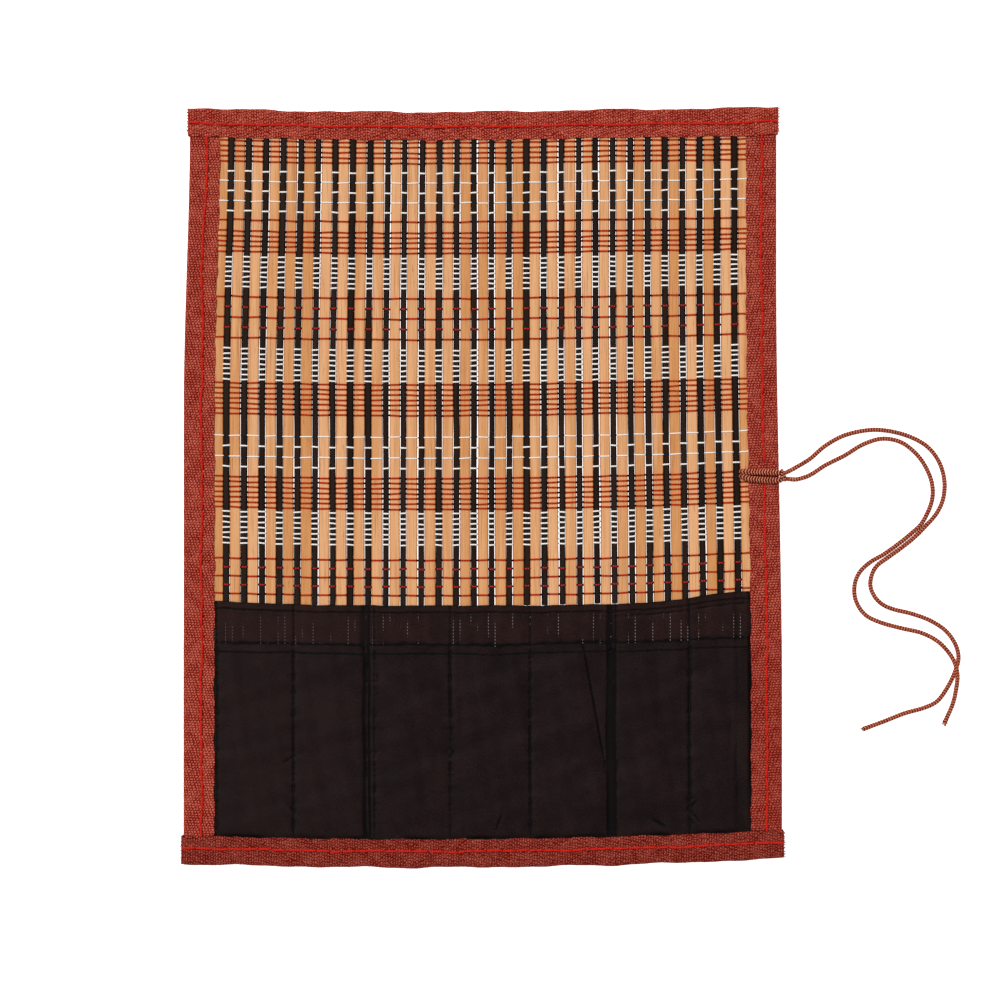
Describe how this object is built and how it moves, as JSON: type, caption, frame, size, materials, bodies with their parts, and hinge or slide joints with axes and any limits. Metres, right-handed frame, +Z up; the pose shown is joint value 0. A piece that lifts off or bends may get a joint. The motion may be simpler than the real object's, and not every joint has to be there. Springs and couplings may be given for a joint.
{
  "type": "brush roll case",
  "caption": "Flat roll-up brush case: woven mat of tan and black bamboo slats with taped edges, stitched dark cloth pockets along one end and a doubled tie cord.",
  "frame": {"origin": "centre of the unrolled mat's box, on the surface that it lies on, without the tie cord", "axes": "+X across the slats towards the tied edge, +Y along the slats away from the pockets, +Z up out of the pocket side"},
  "size_m": [0.4605, 0.449, 0.0069],
  "materials": {
    "bamboo_natural": "smooth split bamboo, satin",
    "bamboo_black": "dyed black bamboo, satin",
    "binding_tape": "coarse ribbed woven tape, matt",
    "lining_cloth": "thin taffeta, faint sheen",
    "pocket_cloth": "thin taffeta, faint sheen",
    "red_thread": "twisted sewing thread",
    "dark_thread": "twisted sewing thread",
    "cord_braid": "round braided cord, matt"
  },
  "bodies": {
    "right_edge": {"right_binding": "binding_tape", "right_binding_seam": "red_thread", "right_edge_slat_1": "bamboo_natural", "right_edge_slat_2": "bamboo_black", "right_edge_slat_3": "bamboo_natural", "right_edge_slat_4": "bamboo_black", "cord_hitch": "cord_braid", "cord_strand_upper": "cord_braid", "cord_strand_lower": "cord_braid"},
    "strip_01": {"slat_pair_01": "bamboo_natural"},
    "strip_02": {"slat_pair_02": "bamboo_natural"},
    "strip_03": {"slat_pair_03": "bamboo_natural", "pocket_seam_6": "dark_thread"},
    "strip_04": {"slat_pair_04": "bamboo_natural"},
    "strip_05": {"slat_pair_05": "bamboo_natural"},
    "strip_06": {"slat_pair_06": "bamboo_natural"},
    "strip_07": {"slat_pair_07": "bamboo_natural"},
    "strip_08": {"slat_pair_08": "bamboo_natural", "pocket_seam_5": "dark_thread"},
    "strip_09": {"slat_pair_09": "bamboo_natural"},
    "strip_10": {"slat_pair_10": "bamboo_natural"},
    "strip_11": {"slat_pair_11": "bamboo_natural"},
    "strip_12": {"slat_pair_12": "bamboo_natural", "pocket_seam_4": "dark_thread"},
    "strip_13": {"slat_pair_13": "bamboo_natural"},
    "strip_14": {"slat_pair_14": "bamboo_natural"},
    "strip_15": {"slat_pair_15": "bamboo_natural", "top_binding": "binding_tape", "bottom_binding": "binding_tape", "top_binding_seam": "red_thread", "bottom_binding_seam": "red_thread", "pocket_lining": "lining_cloth", "pocket_panel": "pocket_cloth", "lining_hem_seam": "dark_thread", "pocket_hem_seam": "dark_thread"},
    "strip_16": {"slat_pair_16": "bamboo_natural"},
    "strip_17": {"slat_pair_17": "bamboo_natural", "pocket_seam_3": "dark_thread"},
    "strip_18": {"slat_pair_18": "bamboo_natural"},
    "strip_19": {"slat_pair_19": "bamboo_natural"},
    "strip_20": {"slat_pair_20": "bamboo_natural"},
    "strip_21": {"slat_pair_21": "bamboo_natural", "pocket_seam_2": "dark_thread"},
    "strip_22": {"slat_pair_22": "bamboo_natural"},
    "strip_23": {"slat_pair_23": "bamboo_natural"},
    "strip_24": {"slat_pair_24": "bamboo_natural"},
    "strip_25": {"slat_pair_25": "bamboo_natural"},
    "strip_26": {"slat_pair_26": "bamboo_natural", "pocket_seam_1": "dark_thread"},
    "strip_27": {"slat_pair_27": "bamboo_natural"},
    "strip_28": {"slat_pair_28": "bamboo_natural"},
    "strip_29": {"slat_pair_29": "bamboo_natural"},
    "left_edge": {"left_edge_slat_1": "bamboo_black", "left_edge_slat_2": "bamboo_natural", "left_edge_slat_3": "bamboo_black", "left_edge_slat_4": "bamboo_natural", "left_edge_slat_5": "bamboo_black", "left_binding": "binding_tape", "left_binding_seam": "red_thread"}
  },
  "joints": [
    {"name": "roll_up", "type": "hinge", "parent": "right_edge", "child": "strip_01", "pos_m": [0.1508, 0, 0.0018], "axis": [0, 1, 0], "range_deg": [0, 6], "deforming": ["top_binding", "bottom_binding", "top_binding_seam", "bottom_binding_seam", "pocket_lining", "pocket_panel", "lining_hem_seam", "pocket_hem_seam"]},
    {"name": "roll_up_02", "type": "hinge", "parent": "strip_01", "child": "strip_02", "pos_m": [0.1404, 0, 0.0018], "axis": [0, 1, 0], "range_deg": [0, 20.5]},
    {"name": "roll_up_03", "type": "hinge", "parent": "strip_02", "child": "strip_03", "pos_m": [0.13, 0, 0.0018], "axis": [0, 1, 0], "range_deg": [0, 20.8]},
    {"name": "roll_up_04", "type": "hinge", "parent": "strip_03", "child": "strip_04", "pos_m": [0.1196, 0, 0.0018], "axis": [0, 1, 0], "range_deg": [0, 21.1]},
    {"name": "roll_up_05", "type": "hinge", "parent": "strip_04", "child": "strip_05", "pos_m": [0.1092, 0, 0.0018], "axis": [0, 1, 0], "range_deg": [0, 21.4]},
    {"name": "roll_up_06", "type": "hinge", "parent": "strip_05", "child": "strip_06", "pos_m": [0.0988, 0, 0.0018], "axis": [0, 1, 0], "range_deg": [0, 21.7]},
    {"name": "roll_up_07", "type": "hinge", "parent": "strip_06", "child": "strip_07", "pos_m": [0.0884, 0, 0.0018], "axis": [0, 1, 0], "range_deg": [0, 22.1]},
    {"name": "roll_up_08", "type": "hinge", "parent": "strip_07", "child": "strip_08", "pos_m": [0.078, 0, 0.0018], "axis": [0, 1, 0], "range_deg": [0, 22.4]},
    {"name": "roll_up_09", "type": "hinge", "parent": "strip_08", "child": "strip_09", "pos_m": [0.0676, 0, 0.0018], "axis": [0, 1, 0], "range_deg": [0, 22.8]},
    {"name": "roll_up_10", "type": "hinge", "parent": "strip_09", "child": "strip_10", "pos_m": [0.0572, 0, 0.0018], "axis": [0, 1, 0], "range_deg": [0, 23.2]},
    {"name": "roll_up_11", "type": "hinge", "parent": "strip_10", "child": "strip_11", "pos_m": [0.0468, 0, 0.0018], "axis": [0, 1, 0], "range_deg": [0, 23.6]},
    {"name": "roll_up_12", "type": "hinge", "parent": "strip_11", "child": "strip_12", "pos_m": [0.0364, 0, 0.0018], "axis": [0, 1, 0], "range_deg": [0, 24]},
    {"name": "roll_up_13", "type": "hinge", "parent": "strip_12", "child": "strip_13", "pos_m": [0.026, 0, 0.0018], "axis": [0, 1, 0], "range_deg": [0, 24.5]},
    {"name": "roll_up_14", "type": "hinge", "parent": "strip_13", "child": "strip_14", "pos_m": [0.0156, 0, 0.0018], "axis": [0, 1, 0], "range_deg": [0, 25]},
    {"name": "roll_up_15", "type": "hinge", "parent": "strip_14", "child": "strip_15", "pos_m": [0.0052, 0, 0.0018], "axis": [0, 1, 0], "range_deg": [0, 25.5]},
    {"name": "roll_up_16", "type": "hinge", "parent": "strip_15", "child": "strip_16", "pos_m": [-0.0052, 0, 0.0018], "axis": [0, 1, 0], "range_deg": [0, 26]},
    {"name": "roll_up_17", "type": "hinge", "parent": "strip_16", "child": "strip_17", "pos_m": [-0.0156, 0, 0.0018], "axis": [0, 1, 0], "range_deg": [0, 26.6]},
    {"name": "roll_up_18", "type": "hinge", "parent": "strip_17", "child": "strip_18", "pos_m": [-0.026, 0, 0.0018], "axis": [0, 1, 0], "range_deg": [0, 27.3]},
    {"name": "roll_up_19", "type": "hinge", "parent": "strip_18", "child": "strip_19", "pos_m": [-0.0364, 0, 0.0018], "axis": [0, 1, 0], "range_deg": [0, 27.9]},
    {"name": "roll_up_20", "type": "hinge", "parent": "strip_19", "child": "strip_20", "pos_m": [-0.0468, 0, 0.0018], "axis": [0, 1, 0], "range_deg": [0, 28.7]},
    {"name": "roll_up_21", "type": "hinge", "parent": "strip_20", "child": "strip_21", "pos_m": [-0.0572, 0, 0.0018], "axis": [0, 1, 0], "range_deg": [0, 29.5]},
    {"name": "roll_up_22", "type": "hinge", "parent": "strip_21", "child": "strip_22", "pos_m": [-0.0676, 0, 0.0018], "axis": [0, 1, 0], "range_deg": [0, 30.3]},
    {"name": "roll_up_23", "type": "hinge", "parent": "strip_22", "child": "strip_23", "pos_m": [-0.078, 0, 0.0018], "axis": [0, 1, 0], "range_deg": [0, 31.3]},
    {"name": "roll_up_24", "type": "hinge", "parent": "strip_23", "child": "strip_24", "pos_m": [-0.0884, 0, 0.0018], "axis": [0, 1, 0], "range_deg": [0, 32.3]},
    {"name": "roll_up_25", "type": "hinge", "parent": "strip_24", "child": "strip_25", "pos_m": [-0.0988, 0, 0.0018], "axis": [0, 1, 0], "range_deg": [0, 33.5]},
    {"name": "roll_up_26", "type": "hinge", "parent": "strip_25", "child": "strip_26", "pos_m": [-0.1092, 0, 0.0018], "axis": [0, 1, 0], "range_deg": [0, 34.7]},
    {"name": "roll_up_27", "type": "hinge", "parent": "strip_26", "child": "strip_27", "pos_m": [-0.1196, 0, 0.0018], "axis": [0, 1, 0], "range_deg": [0, 36.2]},
    {"name": "roll_up_28", "type": "hinge", "parent": "strip_27", "child": "strip_28", "pos_m": [-0.13, 0, 0.0018], "axis": [0, 1, 0], "range_deg": [0, 37.8]},
    {"name": "roll_up_29", "type": "hinge", "parent": "strip_28", "child": "strip_29", "pos_m": [-0.1404, 0, 0.0018], "axis": [0, 1, 0], "range_deg": [0, 39.7]},
    {"name": "roll_up_30", "type": "hinge", "parent": "strip_29", "child": "left_edge", "pos_m": [-0.1508, 0, 0.0018], "axis": [0, 1, 0], "range_deg": [0, 92.1]}
  ],
  "couplings": [
    {"joint": "roll_up_02", "follows": "roll_up", "ratio": 3.402},
    {"joint": "roll_up_03", "follows": "roll_up", "ratio": 3.45},
    {"joint": "roll_up_04", "follows": "roll_up", "ratio": 3.499},
    {"joint": "roll_up_05", "follows": "roll_up", "ratio": 3.55},
    {"joint": "roll_up_06", "follows": "roll_up", "ratio": 3.604},
    {"joint": "roll_up_07", "follows": "roll_up", "ratio": 3.66},
    {"joint": "roll_up_08", "follows": "roll_up", "ratio": 3.719},
    {"joint": "roll_up_09", "follows": "roll_up", "ratio": 3.781},
    {"joint": "roll_up_10", "follows": "roll_up", "ratio": 3.846},
    {"joint": "roll_up_11", "follows": "roll_up", "ratio": 3.915},
    {"joint": "roll_up_12", "follows": "roll_up", "ratio": 3.987},
    {"joint": "roll_up_13", "follows": "roll_up", "ratio": 4.064},
    {"joint": "roll_up_14", "follows": "roll_up", "ratio": 4.145},
    {"joint": "roll_up_15", "follows": "roll_up", "ratio": 4.232},
    {"joint": "roll_up_16", "follows": "roll_up", "ratio": 4.324},
    {"joint": "roll_up_17", "follows": "roll_up", "ratio": 4.422},
    {"joint": "roll_up_18", "follows": "roll_up", "ratio": 4.527},
    {"joint": "roll_up_19", "follows": "roll_up", "ratio": 4.64},
    {"joint": "roll_up_20", "follows": "roll_up", "ratio": 4.762},
    {"joint": "roll_up_21", "follows": "roll_up", "ratio": 4.894},
    {"joint": "roll_up_22", "follows": "roll_up", "ratio": 5.038},
    {"joint": "roll_up_23", "follows": "roll_up", "ratio": 5.195},
    {"joint": "roll_up_24", "follows": "roll_up", "ratio": 5.368},
    {"joint": "roll_up_25", "follows": "roll_up", "ratio": 5.56},
    {"joint": "roll_up_26", "follows": "roll_up", "ratio": 5.774},
    {"joint": "roll_up_27", "follows": "roll_up", "ratio": 6.014},
    {"joint": "roll_up_28", "follows": "roll_up", "ratio": 6.287},
    {"joint": "roll_up_29", "follows": "roll_up", "ratio": 6.601},
    {"joint": "roll_up_30", "follows": "roll_up", "ratio": 15.333}
  ]
}
